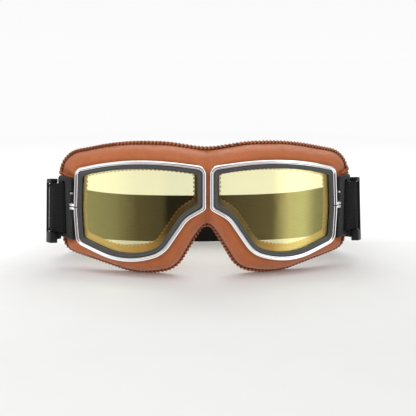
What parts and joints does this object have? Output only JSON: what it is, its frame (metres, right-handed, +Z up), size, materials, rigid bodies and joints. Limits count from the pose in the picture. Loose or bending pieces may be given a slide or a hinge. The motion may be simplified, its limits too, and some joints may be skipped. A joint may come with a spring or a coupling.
{
  "type": "motorcycle goggles",
  "caption": "Aviator-style motorcycle goggles: padded leather mask, chromed rims with tinted lenses, hinged strap brackets, and an elastic strap with sliders.",
  "frame": {"origin": "centre of the bounding box at the floor the goggles stand on", "axes": "+Z up, +X to the viewer's right when facing the lenses, the lenses face -Y and the strap loops round to +Y"},
  "size_m": [0.2292, 0.1258, 0.0904],
  "materials": {
    "chrome": "polished",
    "gasket_rubber": "satin",
    "lens_yellow": "polished, thin mirror coating",
    "frame_steel": "satin",
    "black_plastic": "matte",
    "webbing": "woven",
    "leather_tan": "satin",
    "lining_brown": "matte",
    "foam_grey": "open-cell foam",
    "seam_brown": "matte"
  },
  "bodies": {
    "mask": {"left_rim": "chrome", "left_lens_gasket": "gasket_rubber", "left_lens": "lens_yellow", "left_inner_frame": "frame_steel", "left_bridge_rivet": "frame_steel", "right_rim": "chrome", "right_lens_gasket": "gasket_rubber", "right_lens": "lens_yellow", "right_inner_frame": "frame_steel", "right_bridge_rivet": "frame_steel", "bridge_plate": "frame_steel", "leather_cover": "leather_tan", "inner_lining": "lining_brown", "face_foam": "foam_grey", "edge_seam": "seam_brown", "head_strap": "webbing"},
    "left_bracket": {"left_strap_bracket": "black_plastic", "left_strap_end": "webbing"},
    "left_slider": {"left_strap_slider": "black_plastic"},
    "left_screw": {"left_clamp_screw": "frame_steel"},
    "right_bracket": {"right_strap_bracket": "black_plastic", "right_strap_end": "webbing"},
    "right_slider": {"right_strap_slider": "black_plastic"},
    "right_screw": {"right_clamp_screw": "frame_steel"}
  },
  "joints": [
    {"name": "left_bracket_swing", "type": "hinge", "parent": "mask", "child": "left_bracket", "pos_m": [-0.09171, -0.02597, 0.045], "axis": [0, 0, 1], "range_deg": [0, 30]},
    {"name": "left_slider_travel", "type": "hinge", "parent": "left_bracket", "child": "left_slider", "pos_m": [-0.07176, 0.01038, 0.03746], "axis": [-0.0153, -0.1614, -0.9868], "range_deg": [0, 24.35]},
    {"name": "left_screw_turn", "type": "hinge", "parent": "mask", "child": "left_screw", "pos_m": [-0.09171, -0.02597, 0.045], "axis": [0, 0, 1], "continuous": true},
    {"name": "right_bracket_swing", "type": "hinge", "parent": "mask", "child": "right_bracket", "pos_m": [0.09171, -0.02597, 0.045], "axis": [0, 0, -1], "range_deg": [0, 30]},
    {"name": "right_slider_travel", "type": "hinge", "parent": "right_bracket", "child": "right_slider", "pos_m": [0.07176, 0.01038, 0.03746], "axis": [-0.0153, 0.1614, 0.9868], "range_deg": [0, 24.35]},
    {"name": "right_screw_turn", "type": "hinge", "parent": "mask", "child": "right_screw", "pos_m": [0.09171, -0.02597, 0.045], "axis": [0, 0, 1], "continuous": true}
  ]
}
